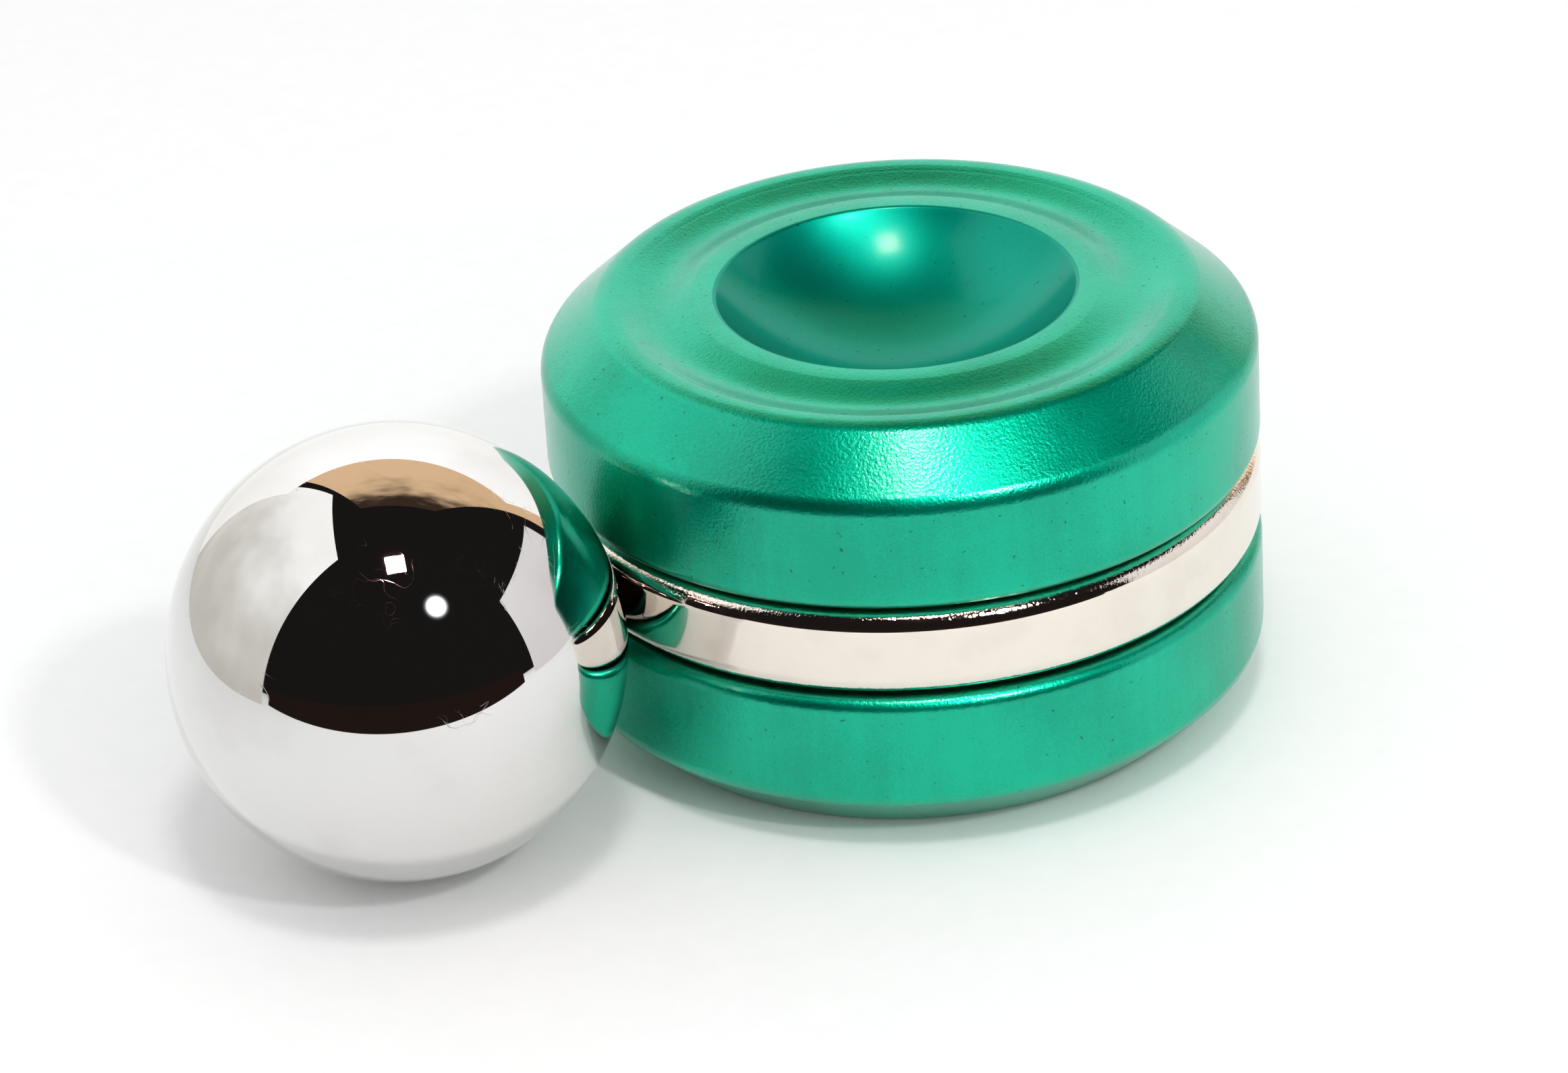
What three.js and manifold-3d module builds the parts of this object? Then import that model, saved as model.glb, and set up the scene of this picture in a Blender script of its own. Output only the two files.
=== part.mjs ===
// Magnetic orbit ball and puck, in millimetres, +Z up.
// Two turned aluminium caps clamp a plated ring magnet into a puck, and a steel ball clings to the
// magnet's rim and rolls round it. Puck and ball stand on z = 0, the ball on the -X side, and the
// origin is at the middle of the base of the box that holds them both.
import * as THREE from 'three';
import { mergeVertices } from 'three/addons/utils/BufferGeometryUtils.js';
import Module from 'manifold-3d';

const wasm = await Module();
wasm.setup();

// ---- Driving dimensions ----
const puckRadius = 16;           // outer wall of both caps and of the magnet between them
const capHeight = 7.65;          // one cap, from its clamping face to its rim
const ballRadius = 10;

const bevelWidth = 2.8;          // radial width of the cap's sloping shoulder
const bevelDrop = 2.55;          // how far the shoulder falls from the rim to the wall
const rimLandWidth = 0.8;        // flat ring that the puck stands on
const troughWidth = 3.3;         // shallow turned trough inside the rim land
const troughDepth = 0.45;
const dishLandWidth = 1.05;      // narrow flat between the trough and the finger dish
const dishDepth = 3.9;
const dishLipRadius = 0.15;      // rounding of the dish's lip
const rimEdgeRadius = 1.1;       // rounding between the rim land and the shoulder
const wallEdgeRadius = 1.1;      // rounding between the shoulder and the wall
const clampEdgeRadius = 0.65;    // rounding of the cap's edge beside the magnet

const magnetThickness = 4.0;
const magnetBoreRadius = 10;
const magnetEdgeRadius = 0.9;    // rounding of the magnet's two outer edges
const magnetBoreChamfer = 0.3;

const gasketThickness = 0.2;
const gasketInset = 0.25;        // gasket's outer edge, in from the rounded edges beside it
const gasketBoreAllowance = 0.3; // gasket's bore over the magnet's bore, radial

const studRadius = 3;            // crest of the thread
const threadPitch = 1;
const threadDepth = 0.55;
const studChamfer = 0.5;
const studSocketWidth = 3;       // across the flats of the hexagon socket
const studSocketDepth = 2.4;
const dishFloorWall = 1.5;       // metal left between the dish and the stud's blind hole

// ---- Clearances ----
const spigotClearance = 0.15;    // spigot in the magnet's bore, radial
const spigotGap = 0.2;           // between the two spigots' ends
const studClearance = 0.1;       // stud's crest in its hole, radial
const studEndClearance = 0.5;    // each end of the stud to the bottom of its hole
const holeMouthChamfer = 0.4;
const spigotChamfer = 0.3;
const ballGap = 0.05;            // ball to the magnet's rim

// ---- Fineness of the turned surfaces ----
const turnedSegments = 60;
const ballSegments = 48;
const studSegments = 24;
const quarterSteps = 4;          // steps in a quarter of a turn of a small rounding
const dishSteps = 7;
const troughSteps = 8;

// ---- Sizes that follow ----
const puckHeight = 2 * (capHeight + gasketThickness) + magnetThickness;
const midHeight = puckHeight / 2;
const clampFace = magnetThickness / 2 + gasketThickness;   // cap's clamping face, from mid-height
const spigotRadius = magnetBoreRadius - spigotClearance;
const rimRadius = puckRadius - bevelWidth;
const dishRadius = rimRadius - rimLandWidth - troughWidth - dishLandWidth;
const holeBottom = clampFace + capHeight - dishDepth - dishFloorWall;
const studLength = 2 * (holeBottom - studEndClearance);
const ballHeight = Math.max(ballRadius, midHeight);        // it rests on what the puck stands on
const orbitRadius = puckRadius + ballGap + ballRadius;
const puckX = (orbitRadius + ballRadius - puckRadius) / 2;

// ---- Making turned pieces ----

const point = (r, z) => new THREE.Vector2(r, z);

// Points along an arc about (r, z), angles in degrees from the outward direction towards +Z.
function arc(r, z, radius, from, to, steps) {
  const points = [];
  for (let i = 0; i <= steps; i++) {
    const angle = THREE.MathUtils.degToRad(from + (to - from) * i / steps);
    points.push(point(r + radius * Math.cos(angle), z + radius * Math.sin(angle)));
  }
  return points;
}

// A rounded corner at b on the way from a to c, as points on an arc of that radius.
function roundedCorner(a, b, c, radius, steps) {
  const back = a.clone().sub(b).normalize();
  const ahead = c.clone().sub(b).normalize();
  const halfAngle = Math.acos(THREE.MathUtils.clamp(back.dot(ahead), -1, 1)) / 2;
  const centre = back.clone().add(ahead).normalize()
    .multiplyScalar(radius / Math.sin(halfAngle)).add(b);
  const start = b.clone().addScaledVector(back, radius / Math.tan(halfAngle)).sub(centre);
  const end = b.clone().addScaledVector(ahead, radius / Math.tan(halfAngle)).sub(centre);
  const sweep = THREE.MathUtils.euclideanModulo(end.angle() - start.angle() + Math.PI, 2 * Math.PI)
    - Math.PI;
  const points = [];
  for (let i = 0; i <= steps; i++) {
    points.push(start.clone().rotateAround(point(0, 0), sweep * i / steps).add(centre));
  }
  return points;
}

// A profile turned about +Z. It runs anticlockwise with r to the right and z up.
function turned(profile, segments) {
  return new THREE.LatheGeometry(profile, segments).rotateX(Math.PI / 2);
}

// The same profile turned upside down about mid-height.
function mirrored(profile) {
  return profile.map(({ x, y }) => point(x, -y)).reverse();
}

// ---- Solids to cut ----

function solidOf(geometry) {
  const bare = geometry.clone();
  bare.deleteAttribute('normal');
  bare.deleteAttribute('uv');
  const merged = mergeVertices(bare, 1e-5);
  return new wasm.Manifold(new wasm.Mesh({
    numProp: 3,
    vertProperties: new Float32Array(merged.attributes.position.array),
    triVerts: new Uint32Array(merged.index.array),
  }));
}

function geometryOf(solid) {
  const { vertProperties, triVerts } = solid.getMesh();
  const geometry = new THREE.BufferGeometry();
  geometry.setAttribute('position', new THREE.BufferAttribute(vertProperties, 3));
  geometry.setIndex(new THREE.BufferAttribute(triVerts, 1));
  geometry.computeVertexNormals();
  return geometry;
}

// ---- Pieces, each with z = 0 at the puck's mid-height unless it says otherwise ----

// Upper cap: spigot and blind hole below, finger dish, trough and rim above.
function capProfile() {
  const top = clampFace + capHeight;
  const holeRadius = studRadius + studClearance;
  const spigotEnd = spigotGap / 2;
  const wallTop = point(puckRadius, top - bevelDrop);
  const rimEdge = point(rimRadius, top);
  const troughOuter = rimRadius - rimLandWidth;
  const dishSphere = (dishRadius ** 2 + dishDepth ** 2) / (2 * dishDepth);
  const dishCentre = top - dishDepth + dishSphere;
  const lipAngle = -90 + THREE.MathUtils.radToDeg(Math.asin((dishRadius - dishLipRadius) / dishSphere));

  const trough = [];
  for (let i = 0; i <= troughSteps; i++) {
    const share = i / troughSteps;
    const fall = troughDepth * (1 - Math.cos(2 * Math.PI * share)) / 2;
    trough.push(point(troughOuter - troughWidth * share, top - fall));
  }
  return [
    point(0, holeBottom),
    point(holeRadius, holeBottom),
    point(holeRadius, spigotEnd + holeMouthChamfer),
    point(holeRadius + holeMouthChamfer, spigotEnd),
    point(spigotRadius - spigotChamfer, spigotEnd),
    point(spigotRadius, spigotEnd + spigotChamfer),
    point(spigotRadius, clampFace),
    ...arc(puckRadius - clampEdgeRadius, clampFace + clampEdgeRadius, clampEdgeRadius,
      -90, 0, quarterSteps),
    ...roundedCorner(point(puckRadius, clampFace), wallTop, rimEdge, wallEdgeRadius, quarterSteps),
    ...roundedCorner(wallTop, rimEdge, point(0, top), rimEdgeRadius, quarterSteps),
    ...trough,
    ...arc(dishRadius + dishLipRadius, top - dishLipRadius, dishLipRadius, 90, 135, 1),
    ...arc(0, dishCentre, dishSphere, lipAngle, -90, dishSteps),
  ];
}

function ringMagnet() {
  const half = magnetThickness / 2;
  const edge = magnetEdgeRadius;
  const bore = magnetBoreRadius;
  const profile = [
    point(bore, 0),
    point(bore, -half + magnetBoreChamfer),
    point(bore + magnetBoreChamfer, -half),
    ...arc(puckRadius - edge, -half + edge, edge, -90, 0, quarterSteps),
    ...arc(puckRadius - edge, half - edge, edge, 0, 90, quarterSteps),
    point(bore + magnetBoreChamfer, half),
    point(bore, half - magnetBoreChamfer),
    point(bore, 0),
  ];
  return turned(profile, turnedSegments);
}

// Flat washer with its under side on z = 0.
function gasket() {
  const inner = magnetBoreRadius + gasketBoreAllowance;
  const outer = puckRadius - Math.max(magnetEdgeRadius, clampEdgeRadius) - gasketInset;
  const profile = [
    point(inner, 0),
    point(outer, 0),
    point(outer, gasketThickness),
    point(inner, gasketThickness),
    point(inner, 0),
  ];
  return turned(profile, turnedSegments);
}

// Headless screw with ridges for its thread and a hexagon socket in its upper end.
function stud() {
  const half = studLength / 2;
  const root = studRadius - threadDepth;
  const ridges = Math.floor((studLength - 2 * studChamfer) / threadPitch);
  const threadStart = -ridges * threadPitch / 2;
  const profile = [point(0, -half), point(root, -half)];
  for (let i = 0; i < ridges; i++) {
    const z = threadStart + i * threadPitch;
    profile.push(point(root, z), point(studRadius, z + threadPitch / 2));
  }
  profile.push(point(root, -threadStart), point(root, half), point(0, half));

  const socketRadius = studSocketWidth / 2 / Math.cos(Math.PI / 6);
  const socket = new THREE.CylinderGeometry(socketRadius, socketRadius, 2 * studSocketDepth, 6)
    .rotateX(Math.PI / 2).translate(0, 0, half);
  return geometryOf(solidOf(turned(profile, studSegments)).subtract(solidOf(socket)));
}

function ball() {
  return new THREE.SphereGeometry(ballRadius, ballSegments, ballSegments / 2).rotateX(Math.PI / 2);
}

// ---- Materials ----

const greenAnodised = () => new THREE.MeshStandardMaterial(
  { color: 0x0a9c78, roughness: 0.38, metalness: 0.9 });
const nickelPlate = () => new THREE.MeshStandardMaterial(
  { color: 0xd9d2c8, roughness: 0.12, metalness: 1 });
const polishedSteel = () => new THREE.MeshStandardMaterial(
  { color: 0xe3e3e2, roughness: 0.03, metalness: 1 });
const blackRubber = () => new THREE.MeshStandardMaterial(
  { color: 0x121211, roughness: 0.8, metalness: 0 });
const blackSteel = () => new THREE.MeshStandardMaterial(
  { color: 0x2c2c2e, roughness: 0.5, metalness: 0.8 });

// ---- Assembly ----

function piece(name, geometry, material, z = 0) {
  const mesh = new THREE.Mesh(geometry, material);
  mesh.name = name;
  mesh.position.z = z;
  return mesh;
}

const puck = new THREE.Group();
puck.position.set(puckX, 0, midHeight);
puck.add(
  piece('upper_cap', turned(capProfile(), turnedSegments), greenAnodised()),
  piece('lower_cap', turned(mirrored(capProfile()), turnedSegments), greenAnodised()),
  piece('ring_magnet', ringMagnet(), nickelPlate()),
  piece('upper_gasket', gasket(), blackRubber(), magnetThickness / 2),
  piece('lower_gasket', gasket(), blackRubber(), -magnetThickness / 2 - gasketThickness),
  piece('clamp_stud', stud(), blackSteel()),
);

const steelBall = piece('steel_ball', ball(), polishedSteel());
steelBall.position.set(puckX - orbitRadius, 0, ballHeight);

const orbitBallAndPuck = new THREE.Group();
orbitBallAndPuck.name = 'orbit_ball_and_puck';
orbitBallAndPuck.add(puck, steelBall);

export default orbitBallAndPuck;
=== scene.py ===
import math

import bmesh
import bpy
from mathutils import Matrix, Vector


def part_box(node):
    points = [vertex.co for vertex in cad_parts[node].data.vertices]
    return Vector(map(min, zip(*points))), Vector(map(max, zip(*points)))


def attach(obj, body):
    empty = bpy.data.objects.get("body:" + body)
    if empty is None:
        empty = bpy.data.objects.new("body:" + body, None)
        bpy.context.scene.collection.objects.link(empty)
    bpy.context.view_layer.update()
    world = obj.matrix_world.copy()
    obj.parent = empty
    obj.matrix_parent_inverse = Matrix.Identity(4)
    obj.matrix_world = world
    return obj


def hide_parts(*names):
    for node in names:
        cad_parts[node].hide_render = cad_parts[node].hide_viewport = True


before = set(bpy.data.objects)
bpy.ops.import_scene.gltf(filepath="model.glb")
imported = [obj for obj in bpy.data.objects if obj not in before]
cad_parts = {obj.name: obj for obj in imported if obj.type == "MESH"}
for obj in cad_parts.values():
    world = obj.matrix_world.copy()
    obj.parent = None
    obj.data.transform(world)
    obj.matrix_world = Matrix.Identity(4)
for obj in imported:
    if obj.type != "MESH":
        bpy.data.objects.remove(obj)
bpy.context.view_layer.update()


# ---- The two caps ----
# Each cap is turned from aluminium bar, bead-blasted, then anodised and dyed green. A spigot under
# it sits in the magnet's bore, and a tapped blind hole takes the stud. Both caps are the same part.

MM = 0.001
puck_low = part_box("lower_cap")[0] / MM
puck_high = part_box("upper_cap")[1] / MM
puck_middle = (puck_low + puck_high) / 2
puck_radius = (puck_high.x - puck_low.x) / 2
half_height = (puck_high.z - puck_low.z) / 2
cap_face = (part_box("upper_gasket")[1].z / MM) - puck_middle.z
spigot_end = (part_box("upper_cap")[0].z / MM) - puck_middle.z
spigot_radius = 9.85
stud_hole_radius = 3.1
stud_hole_end = 4.45
spigot_chamfer = 0.3
clamp_edge = 0.65

shoulder_width = 2.8
shoulder_drop = 2.55
shoulder_edge = 0.49
rim_edge = 0.42
rim_land = 0.8
trough_width = 3.3
trough_depth = 0.45
trough_points = 48
turned_line_point = 5
turned_line_depth = 0.014
sharp_angle = 35
dish_land = 1.05
dish_depth = 3.9
dish_lip = 0.1
dish_steps = 40
turning_steps = 288
dish_radius = puck_radius - shoulder_width - rim_land - trough_width - dish_land


def draw(bm, points):
    """An open outline of straight lines, with x as radius and z as height."""
    verts = [bm.verts.new((r, 0, z)) for r, z in points]
    for a, b in zip(verts, verts[1:]):
        bm.edges.new((a, b))
    return verts


def round_off(bm, corner, offset, segments=8):
    """Rounds one corner of an outline; offset is the length taken off each of its two lines."""
    bmesh.ops.bevel(bm, geom=[corner], offset=offset, offset_type="OFFSET", affect="VERTICES",
                    segments=segments, profile=0.5, material=-1)


def turned_piece(name, bm, centre, steps=turning_steps):
    """Turns the outline about +Z through centre, in millimetres, into a closed mesh in metres."""
    bmesh.ops.spin(bm, geom=bm.verts[:] + bm.edges[:], cent=(0, 0, 0), axis=(0, 0, 1),
                   angle=2 * math.pi, steps=steps, use_merge=True)
    bmesh.ops.remove_doubles(bm, verts=bm.verts[:], dist=1e-4)
    return finished_piece(name, bm, centre)


def finished_piece(name, bm, centre):
    """A mesh drawn about its centre, in millimetres, made a smooth object in metres."""
    bmesh.ops.recalc_face_normals(bm, faces=bm.faces[:])
    bmesh.ops.translate(bm, verts=bm.verts[:], vec=centre)
    bmesh.ops.scale(bm, verts=bm.verts[:], vec=(MM, MM, MM))
    mesh = bpy.data.meshes.new(name)
    bm.to_mesh(mesh)
    bm.free()
    mesh.shade_smooth()
    mesh.set_sharp_from_angle(angle=math.radians(sharp_angle))
    piece = bpy.data.objects.new(name, mesh)
    bpy.context.scene.collection.objects.link(piece)
    weighted = piece.modifiers.new("level_flats", "WEIGHTED_NORMAL")
    weighted.keep_sharp = True
    return piece


def cap_outline(bm):
    """The upper cap's outline, from the bottom of its blind hole round to the middle of its dish."""
    top = half_height
    rim_radius = puck_radius - shoulder_width
    land_radius = rim_radius - rim_land
    outline = draw(bm, [
        (0, stud_hole_end), (stud_hole_radius, stud_hole_end), (stud_hole_radius, spigot_end),
        (spigot_radius, spigot_end), (spigot_radius, cap_face), (puck_radius, cap_face),
        (puck_radius, top - shoulder_drop), (rim_radius, top), (land_radius, top)])
    wall_foot, wall_top, rim = outline[5:8]

    # The trough's section is halfway between a wave and an arc; the tool left one fine line in it.
    end = outline[-1]
    for i in range(1, trough_points + 1):
        share = i / trough_points
        wave = (1 - math.cos(2 * math.pi * share)) / 2
        arc = 1 - (2 * share - 1) ** 2
        fall = trough_depth * (wave + arc) / 2
        if i == turned_line_point:
            fall += turned_line_depth
        vert = bm.verts.new((land_radius - trough_width * share, 0, top - fall))
        bm.edges.new((end, vert))
        end = vert
    lip_place = Vector((dish_radius, 0, top))
    lip = bm.verts.new(lip_place)
    bm.edges.new((end, lip))

    sphere = (dish_radius ** 2 + dish_depth ** 2) / (2 * dish_depth)
    start = bm.verts.new(lip.co)
    bmesh.ops.spin(bm, geom=[start], cent=(0, 0, top - dish_depth + sphere), axis=(0, 1, 0),
                   angle=math.asin(dish_radius / sphere), steps=dish_steps)
    bmesh.ops.remove_doubles(bm, verts=bm.verts[:], dist=1e-4)

    round_off(bm, outline[3], spigot_chamfer, 1)
    round_off(bm, wall_foot, clamp_edge)
    round_off(bm, wall_top, shoulder_edge)
    round_off(bm, rim, rim_edge)
    round_off(bm, min(bm.verts, key=lambda vert: (vert.co - lip_place).length), dish_lip)


def feed(tree, node, sockets):
    """Feeds a node's inputs, each with a number, a colour or another node's output."""
    for name, value in sockets.items():
        if isinstance(value, bpy.types.NodeSocket):
            tree.links.new(value, node.inputs[name])
        else:
            node.inputs[name].default_value = value


def add_node(tree, kind, sockets, **settings):
    """A shader node with its settings and its inputs fed."""
    node = tree.nodes.new(kind)
    for name, value in settings.items():
        setattr(node, name, value)
    feed(tree, node, sockets)
    return node


def start_material(name):
    """An empty material, its node tree, its main shader and its object coordinates."""
    material = bpy.data.materials.new(name)
    material.use_nodes = True
    tree = material.node_tree
    shader = tree.nodes["Principled BSDF"]
    place = add_node(tree, "ShaderNodeTexCoord", {}).outputs["Object"]
    return material, tree, shader, place


def noise(tree, place, grain_mm, detail=2.0, roughness=0.5, distortion=0.0):
    """Soft noise whose features are about grain_mm across."""
    return add_node(tree, "ShaderNodeTexNoise", {
        "Vector": place, "Scale": 1 / (grain_mm * MM), "Detail": detail,
        "Roughness": roughness, "Distortion": distortion}).outputs["Fac"]


def ramp(tree, value, low, high, to_low=0.0, to_high=1.0):
    """Takes value smoothly from the range low to high into the range to_low to to_high."""
    return add_node(tree, "ShaderNodeMapRange", {
        "Value": value, "From Min": low, "From Max": high, "To Min": to_low, "To Max": to_high},
        interpolation_type="SMOOTHSTEP").outputs["Result"]


def compute(tree, operation, *values):
    """One step of arithmetic on sockets or numbers."""
    return add_node(tree, "ShaderNodeMath", dict(enumerate(values)),
                    operation=operation).outputs["Value"]


def blend_colours(tree, share, first, second):
    """A mix of two colours, share of the second; a Mix node keeps its colours in sockets 6, 7 and 2."""
    return add_node(tree, "ShaderNodeMix", {"Factor": share, 6: first, 7: second},
                    data_type="RGBA").outputs[2]


def bump(tree, height, depth_mm):
    """A bump that rises depth_mm where height is one."""
    return add_node(tree, "ShaderNodeBump", {
        "Height": height, "Distance": depth_mm * MM, "Strength": 1.0}).outputs["Normal"]


def green_anodised(name, deep, fresh, roughness, dimple_depth, coat, coat_roughness):
    """Dyed aluminium under a clear oxide skin; dimple_depth is the relief that glass beads leave."""
    material, tree, shader, place = start_material(name)
    pit_colour = (0.0, 0.13, 0.09, 1)
    edge_tint = (0.5, 0.65, 0.65, 1)
    grain_share = 0.45
    streak_share = 0.2
    pit_share = 0.75
    pit_relief = 0.6
    clouds = noise(tree, place, 6.0, detail=3)
    drawn = add_node(tree, "ShaderNodeMapping", {"Vector": place, "Scale": (1, 1, 0.06)}).outputs["Vector"]
    streaks = noise(tree, drawn, 0.5)
    grain = noise(tree, place, 0.12)
    grainy_clouds = compute(tree, "MULTIPLY_ADD", grain, grain_share, clouds)
    tone = compute(tree, "MULTIPLY_ADD", streaks, streak_share, grainy_clouds)
    dye = blend_colours(tree, ramp(tree, tone, 0.62, 1.03), (*deep, 1), (*fresh, 1))
    pits = ramp(tree, noise(tree, place, 0.22, detail=1), 0.735, 0.78)
    dimples = noise(tree, place, 0.14)
    hollows = compute(tree, "MULTIPLY", pits, pit_relief)
    relief = bump(tree, compute(tree, "SUBTRACT", dimples, hollows), dimple_depth)
    feed(tree, shader, {
        "Base Color": blend_colours(tree, compute(tree, "MULTIPLY", pits, pit_share), dye, pit_colour),
        "Roughness": ramp(tree, clouds, 0.3, 0.7, roughness, roughness + 0.04),
        "Normal": relief, "Coat Normal": relief, "Metallic": 1.0, "Specular Tint": edge_tint,
        "Coat Weight": coat, "Coat Roughness": coat_roughness, "Coat IOR": 1.35})
    return material


blasted_green = green_anodised(
    "blasted_green", deep=(0.0, 0.405, 0.245), fresh=(0.0, 0.53, 0.325),
    roughness=0.36, dimple_depth=0.016, coat=0.85, coat_roughness=0.15)
# The dish has no blast dimples and a thinner coat; its darker dye is painted shade for the deep hollow.
dish_green_painted_shade = green_anodised(
    "dish_green_painted_shade", deep=(0.0, 0.33, 0.235), fresh=(0.0, 0.37, 0.26),
    roughness=0.40, dimple_depth=0.001, coat=0.45, coat_roughness=0.17)

dish_bottom = half_height - dish_depth
dish_margin = 0.1
for which, turned_over in (("upper_cap", False), ("lower_cap", True)):
    drawing = bmesh.new()
    cap_outline(drawing)
    if turned_over:
        bmesh.ops.scale(drawing, verts=drawing.verts[:], vec=(1, 1, -1))
    cap = turned_piece(which + "_turned", drawing, puck_middle)
    cap.data.materials.append(blasted_green)
    cap.data.materials.append(dish_green_painted_shade)
    # Faces inside the dish take the second, darker green, which is painted shade.
    for face in cap.data.polygons:
        middle = face.center / MM - puck_middle
        inside_dish = math.hypot(middle.x, middle.y) < dish_radius + dish_lip
        if inside_dish and abs(middle.z) > dish_bottom - dish_margin:
            face.material_index = 1
    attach(cap, "puck")
    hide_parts(which)


# ---- The ring magnet ----
# A sintered ring, tumbled before it was plated with nickel: its rim is bright and smooth, with a
# few plating bumps, and its rounded edges keep a coarse, pitted grain. The caps clamp it.

magnet_half = (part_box("ring_magnet")[1].z / MM) - puck_middle.z
magnet_bore = 10.0
magnet_edge = 0.9
magnet_edge_segments = 12
bore_chamfer = 0.3


def magnet_outline(bm):
    """A closed section: bore, two flat faces and the rim."""
    corners = draw(bm, [
        (magnet_bore, -magnet_half), (puck_radius, -magnet_half),
        (puck_radius, magnet_half), (magnet_bore, magnet_half)])
    bm.edges.new((corners[3], corners[0]))
    for corner in corners[1:3]:
        round_off(bm, corner, magnet_edge, magnet_edge_segments)
    for corner in (corners[0], corners[3]):
        round_off(bm, corner, bore_chamfer, 1)


def nickel_plate():
    """Bright nickel, warm white, smooth on the rim and grainy on the rounded edges."""
    material, tree, shader, place = start_material("nickel_plate")
    clean = (0.86, 0.80, 0.72, 1)
    dull = (0.82, 0.755, 0.675, 1)
    edge_start = (magnet_half - 0.75 * magnet_edge) * MM
    edge_end = (magnet_half - 0.35 * magnet_edge) * MM
    peel_relief = 0.4
    grain_relief = 4.5
    blister_relief = 2.0
    centred = add_node(tree, "ShaderNodeMapping", {
        "Vector": place, "Location": -puck_middle * MM}).outputs["Vector"]
    height = add_node(tree, "ShaderNodeSeparateXYZ", {"Vector": centred}).outputs["Z"]
    on_edge = ramp(tree, compute(tree, "ABSOLUTE", height), edge_start, edge_end)
    clouds = noise(tree, place, 2.2, detail=4)
    peel = noise(tree, place, 1.1, detail=1)
    grain = noise(tree, place, 0.16, roughness=0.6)
    coarse = compute(tree, "MULTIPLY", compute(tree, "MULTIPLY", grain, on_edge), grain_relief)
    from_cell = add_node(tree, "ShaderNodeTexVoronoi", {
        "Vector": place, "Scale": 1 / (1.5 * MM)}).outputs["Distance"]
    blisters = compute(tree, "MULTIPLY", ramp(tree, from_cell, 0.075, 0.03), blister_relief)
    relief = compute(tree, "ADD", compute(tree, "MULTIPLY_ADD", peel, peel_relief, coarse), blisters)
    feed(tree, shader, {
        "Base Color": blend_colours(tree, ramp(tree, clouds, 0.45, 0.7), clean, dull),
        "Roughness": ramp(tree, clouds, 0.3, 0.7, 0.03, 0.07),
        "Normal": bump(tree, relief, 0.004), "Metallic": 1.0})
    return material


drawing = bmesh.new()
magnet_outline(drawing)
magnet = turned_piece("ring_magnet_plated", drawing, puck_middle)
magnet.data.materials.append(nickel_plate())
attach(magnet, "puck")
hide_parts("ring_magnet")


# ---- The gaskets ----
# Two thin rubber washers, one each side of the magnet. They keep the brittle magnet off the metal
# and are set back from the edge. The fine black line each shows is partly painted shade: their black
# stands in for the shade of the narrow gap.

gasket_edge = 0.05
gasket_bore = magnet_bore + 0.3
gasket_steps = 144


def gasket_outline(bm, outer, half):
    """A flat section with softly rounded corners, from the bore out to outer and half each way up."""
    corners = draw(bm, [(gasket_bore, -half), (outer, -half), (outer, half), (gasket_bore, half)])
    bm.edges.new((corners[3], corners[0]))
    for corner in corners:
        round_off(bm, corner, gasket_edge, 3)


def black_rubber():
    """Matt black rubber with a faint moulded grain; its black is also painted shade in the gap between
    magnet and cap.
    """
    material, tree, shader, place = start_material("black_rubber")
    clean = (0.008, 0.008, 0.008, 1)
    dusty = (0.02, 0.02, 0.019, 1)
    dust = ramp(tree, noise(tree, place, 0.6, detail=3), 0.5, 0.75)
    feed(tree, shader, {
        "Base Color": blend_colours(tree, dust, clean, dusty), "Roughness": 0.75,
        "Normal": bump(tree, noise(tree, place, 0.08), 0.006)})
    return material


# Black for the washers, partly painted shade of the narrow gaps.
gap_shade_rubber = black_rubber()
for which in ("upper_gasket", "lower_gasket"):
    low, high = (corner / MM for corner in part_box(which))
    drawing = bmesh.new()
    gasket_outline(drawing, outer=(high.x - low.x) / 2, half=(high.z - low.z) / 2)
    gasket = turned_piece(which + "_washer", drawing, (low + high) / 2, steps=gasket_steps)
    gasket.data.materials.append(gap_shade_rubber)
    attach(gasket, "puck")
    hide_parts(which)


# ---- The clamp stud ----
# A headless steel screw with a black oxide finish, driven by the hexagon socket in its end. It is
# sealed between the caps, so it keeps its own solid and takes only a finish.

def black_oxide():
    """Oily black oxide over steel, a little brown where it is thin."""
    material, tree, shader, place = start_material("black_oxide")
    oxide = (0.030, 0.031, 0.034, 1)
    thin = (0.075, 0.062, 0.052, 1)
    wear = ramp(tree, noise(tree, place, 0.7, detail=4), 0.45, 0.7)
    feed(tree, shader, {
        "Base Color": blend_colours(tree, wear, oxide, thin),
        "Roughness": ramp(tree, wear, 0.0, 1.0, 0.35, 0.5),
        "Normal": bump(tree, noise(tree, place, 0.05), 0.003), "Metallic": 0.9})
    return material


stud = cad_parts["clamp_stud"]
stud.data.materials.clear()
stud.data.materials.append(black_oxide())


# ---- The steel ball ----
# A ground and lapped bearing ball with a mirror polish. The magnet holds it against its rim, and
# rolling on hard tables has left hairline scratches and a little haze.

ball_low, ball_high = (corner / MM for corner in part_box("steel_ball"))
ball_middle = (ball_low + ball_high) / 2
ball_radius = (ball_high.x - ball_low.x) / 2
ball_segments = 256
ball_rings = 128


def hairlines(tree, place, turn, length_mm, width_mm, wander):
    """Thin, long scratches that run one way: the lines where a stretched noise crosses its middle."""
    stretched = add_node(tree, "ShaderNodeMapping", {
        "Vector": place, "Rotation": turn, "Scale": (1.0, width_mm / length_mm, 1.0)}).outputs["Vector"]
    field = noise(tree, stretched, width_mm, detail=1, distortion=wander)
    off_line = compute(tree, "ABSOLUTE", compute(tree, "SUBTRACT", field, 0.5))
    return ramp(tree, off_line, 0.006, 0.0)


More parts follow.
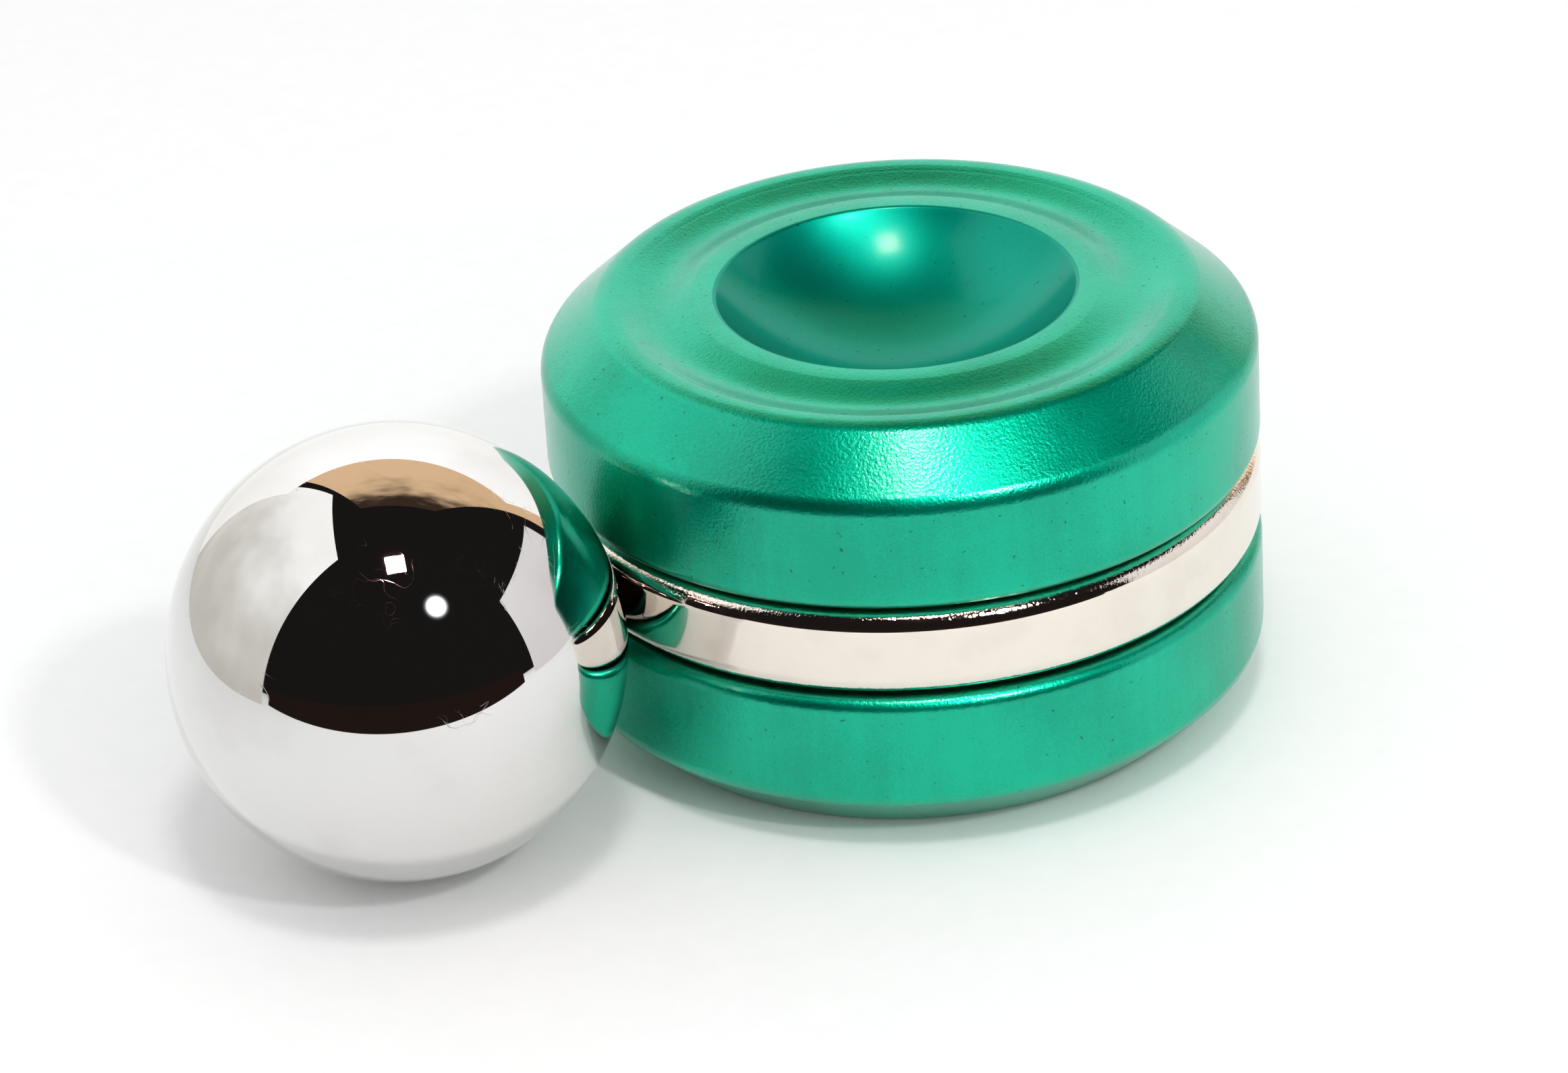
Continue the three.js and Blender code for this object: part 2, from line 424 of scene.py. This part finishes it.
def mirror_steel():
    """Polished steel with faint hairlines and cloudy handling marks."""
    material, tree, shader, place = start_material("mirror_steel")
    bright = (0.735, 0.73, 0.72, 1)
    handled = (0.68, 0.665, 0.65, 1)
    clouds = noise(tree, place, 6.0, detail=3)
    long_marks = hairlines(tree, place, (0.4, 0.9, 0.3), length_mm=14.0, width_mm=1.6, wander=0.3)
    short_marks = hairlines(tree, place, (1.3, 0.2, 1.1), length_mm=5.0, width_mm=1.1, wander=0.2)
    patches = ramp(tree, noise(tree, place, 4.0), 0.52, 0.62)
    marks = compute(tree, "MULTIPLY", compute(tree, "MAXIMUM", long_marks, short_marks), patches)
    haze = ramp(tree, clouds, 0.45, 0.75, 0.012, 0.035)
    feed(tree, shader, {
        "Base Color": blend_colours(tree, ramp(tree, clouds, 0.4, 0.7), bright, handled),
        "Roughness": compute(tree, "MULTIPLY_ADD", marks, 0.12, haze),
        "Normal": bump(tree, marks, -0.0006), "Metallic": 1.0})
    return material


drawing = bmesh.new()
bmesh.ops.create_uvsphere(drawing, u_segments=ball_segments, v_segments=ball_rings, radius=ball_radius)
ball = finished_piece("steel_ball_polished", drawing, ball_middle)
ball.data.materials.append(mirror_steel())
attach(ball, "ball")
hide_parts("steel_ball")


# ---- The studio ----
# A pale table with white cards on three sides, a dark flag in front, a warm wall high up behind and a
# dark surround. Two lamps and a reflector bowl are seen only as reflections, and two keys and a fill
# light only what is matt.

camera_turn = math.radians(-29.6)
camera_rise = math.radians(28.81)
camera_roll = math.radians(3.6)
camera_distance = 274.6
aim_left = 5.64
aim_up = 6.45
focal_length = 137.26
sensor_width = 36.0

rightward = Vector((math.cos(camera_turn), math.sin(camera_turn), 0))
away = Vector((-math.sin(camera_turn), math.cos(camera_turn), 0))
puck_foot = Vector((puck_middle.x, puck_middle.y, puck_low.z))

toward_camera = -away * math.cos(camera_rise) + Vector((0, 0, math.sin(camera_rise)))
upward = away * math.sin(camera_rise) + Vector((0, 0, math.cos(camera_rise)))
aim = puck_foot - rightward * aim_left + upward * aim_up
rolled_right = rightward * math.cos(camera_roll) - upward * math.sin(camera_roll)
rolled_up = rightward * math.sin(camera_roll) + upward * math.cos(camera_roll)

lens = bpy.data.cameras.new("camera")
lens.lens = focal_length
lens.sensor_width = sensor_width
lens.clip_start = 0.01
camera = bpy.data.objects.new("camera", lens)
turn = Matrix((rolled_right, rolled_up, toward_camera)).transposed().to_4x4()
camera.matrix_world = Matrix.Translation((aim + toward_camera * camera_distance) * MM) @ turn
bpy.context.scene.collection.objects.link(camera)
bpy.context.scene.camera = camera

studio_middle = (ball_middle + puck_middle) / 2
studio_middle.z = 0


def studio_place(right, back, up):
    """A point in millimetres from the middle of the table, as the camera sees the directions."""
    return (studio_middle + rightward * right + away * back + Vector((0, 0, up))) * MM


def glowing(tree, shader, sockets):
    """Puts a plain glow in the place of the main shader."""
    glow = add_node(tree, "ShaderNodeEmission", sockets)
    tree.links.new(glow.outputs["Emission"], tree.nodes["Material Output"].inputs["Surface"])
    tree.nodes.remove(shader)


def card_material(name, low_colour, high_colour, height, fade):
    """A surface that glows, from low_colour at its foot to high_colour at its top, a little uneven."""
    material, tree, shader, place = start_material(name)
    up = add_node(tree, "ShaderNodeSeparateXYZ", {"Vector": place}).outputs["Z"]
    wavy = compute(tree, "MULTIPLY_ADD", noise(tree, place, 60.0), 0.6 * height * MM, up)
    share = ramp(tree, wavy, fade[0] * height * MM, fade[1] * height * MM)
    glowing(tree, shader, {
        "Color": blend_colours(tree, share, (*low_colour, 1), (*high_colour, 1)), "Strength": 1.0})
    return material


def studio_piece(name, bm, material, only_reflected=True):
    """Something of the studio; when only reflected, it is seen in the metal and by nothing else."""
    mesh = bpy.data.meshes.new(name)
    bm.to_mesh(mesh)
    bm.free()
    mesh.materials.append(material)
    piece = bpy.data.objects.new(name, mesh)
    bpy.context.scene.collection.objects.link(piece)
    if only_reflected:
        piece.visible_camera = False
        piece.visible_diffuse = False
        piece.visible_shadow = False
        piece.visible_transmission = False
    return piece


def card(name, right, back, facing, width, height, low_colour, high_colour, fade=(0.25, 1.2)):
    """An upright card with its foot on the table and its face turned to facing."""
    bm = bmesh.new()
    bmesh.ops.create_grid(bm, x_segments=1, y_segments=1, size=0.5)
    bmesh.ops.scale(bm, verts=bm.verts[:], vec=(width * MM, height * MM, 1))
    across = Vector((0, 0, 1)).cross(facing)
    stand = Matrix((across, Vector((0, 0, 1)), facing)).transposed().to_4x4()
    middle = Matrix.Translation(studio_place(right, back, height / 2))
    bmesh.ops.transform(bm, matrix=middle @ stand, verts=bm.verts[:])
    made = studio_piece(name, bm, card_material(name, low_colour, high_colour, height, fade))


card("left_card", right=-115, back=41, facing=rightward, width=200, height=276,
     low_colour=(0.68, 0.66, 0.60), high_colour=(1.26, 1.26, 1.25), fade=(0.25, 0.95))
card("back_card", right=4, back=115, facing=-away, width=228, height=122,
     low_colour=(1.15, 1.15, 1.13), high_colour=(1.38, 1.38, 1.38))
card("right_card", right=190, back=25, facing=-rightward, width=200, height=140,
     low_colour=(0.84, 0.81, 0.82), high_colour=(0.95, 0.92, 0.93))
card("warm_card", right=34, back=130, facing=-away, width=260, height=500,
     low_colour=(0.92, 0.62, 0.37), high_colour=(0.05, 0.03, 0.02), fade=(0.65, 1.15))
flag_colour = (0.018, 0.011, 0.009)
card("front_flag", right=0, back=-75, facing=away, width=260, height=16,
     low_colour=flag_colour, high_colour=flag_colour)

surround_radius = 600
surround_colour = (0.012, 0.010, 0.010)
shade = bmesh.new()
bmesh.ops.create_uvsphere(shade, u_segments=48, v_segments=24, radius=surround_radius * MM)
dark_surround = studio_piece("dark_surround", shade, card_material(
    "dark_surround", surround_colour, surround_colour, surround_radius, (0, 1)))


def toward(heading, rise):
    """A direction from the table: heading in degrees round from the right towards the back, and up."""
    flat = rightward * math.cos(math.radians(heading)) + away * math.sin(math.radians(heading))
    return flat * math.cos(math.radians(rise)) + Vector((0, 0, math.sin(math.radians(rise))))


def facing_table(direction, distance):
    """The place of something at distance along direction, with its face to the table."""
    return (Matrix.Translation(studio_place(0, 0, 10) + direction * distance * MM)
            @ direction.to_track_quat("Z", "Y").to_matrix().to_4x4())


def lamp(name, heading, rise, distance, size, power, colour=(1, 1, 1)):
    """A square lamp with its face to the table."""
    light = bpy.data.lights.new(name, "AREA")
    light.shape = "SQUARE"
    light.size = size * MM
    light.energy = power
    light.color = colour
    made = bpy.data.objects.new(name, light)
    made.matrix_world = facing_table(toward(heading, rise), distance)
    made.visible_camera = False
    bpy.context.scene.collection.objects.link(made)
    return made


tungsten = (1.0, 0.52, 0.50)
overhead_side = {"heading": -80, "rise": 71.5, "distance": 500, "size": 75}
front_side = {"heading": -57.5, "rise": 46, "distance": 450, "size": 30}
lamp("overhead_lamp", **overhead_side, power=1.15, colour=tungsten).visible_diffuse = False
lamp("front_lamp", **front_side, power=1.6, colour=tungsten).visible_diffuse = False
lamp("overhead_key", **overhead_side, power=0.55).visible_glossy = False
lamp("front_key", heading=-57, rise=42, distance=450, size=30, power=0.40).visible_glossy = False
lamp("front_fill", heading=-70, rise=35, distance=400, size=200, power=0.16).visible_glossy = False

bowl_radius = 75
bowl_setback = 15
bowl_glow = 50.0
bowl_edge_glow = 0.011
bowl_place = facing_table(toward(front_side["heading"], front_side["rise"]),
                          front_side["distance"] + bowl_setback)


def bowl_material():
    """The front lamp's reflector, brightest in the middle and as dark as the studio at its edge."""
    material, tree, shader, place = start_material("lamp_bowl")
    off_middle = add_node(tree, "ShaderNodeVectorMath", {0: place, 1: bowl_place.translation},
                          operation="DISTANCE").outputs["Value"]
    inward = ramp(tree, off_middle, bowl_radius * MM, 0.0)
    peak = compute(tree, "POWER", inward, 5.0)
    glowing(tree, shader, {"Strength": compute(tree, "MULTIPLY_ADD", peak, bowl_glow, bowl_edge_glow)})
    return material


bowl = bmesh.new()
bmesh.ops.create_circle(bowl, cap_ends=True, segments=48, radius=bowl_radius * MM)
bmesh.ops.transform(bowl, matrix=bowl_place, verts=bowl.verts[:])
lamp_bowl = studio_piece("lamp_bowl", bowl, bowl_material())

table_reach = 3000
table_gap = 0.005


def pale_sheet():
    """Matt white card with a barely visible tooth."""
    material, tree, shader, place = start_material("pale_sheet")
    hollow = (0.86, 0.87, 0.865, 1)
    crest = (0.90, 0.905, 0.90, 1)
    tooth = noise(tree, place, 1.5, detail=3)
    feed(tree, shader, {
        "Base Color": blend_colours(tree, tooth, hollow, crest), "Roughness": 0.7,
        "Specular IOR Level": 0.2})
    return material


# The table lies a hair under the puck, so that the two flat faces don't fight where they meet.
table = bmesh.new()
bmesh.ops.create_grid(table, x_segments=1, y_segments=1, size=table_reach * MM)
bmesh.ops.translate(table, verts=table.verts[:], vec=(0, 0, -table_gap * MM))
table_top = studio_piece("table_top", table, pale_sheet(), only_reflected=False)

soft_light = bpy.data.worlds.new("soft_light")
soft_light.use_nodes = True
feed(soft_light.node_tree, soft_light.node_tree.nodes["Background"], {
    "Color": (0.98, 0.99, 1.0, 1), "Strength": 0.80})
bpy.context.scene.world = soft_light
bpy.context.scene.view_settings.view_transform = "Standard"
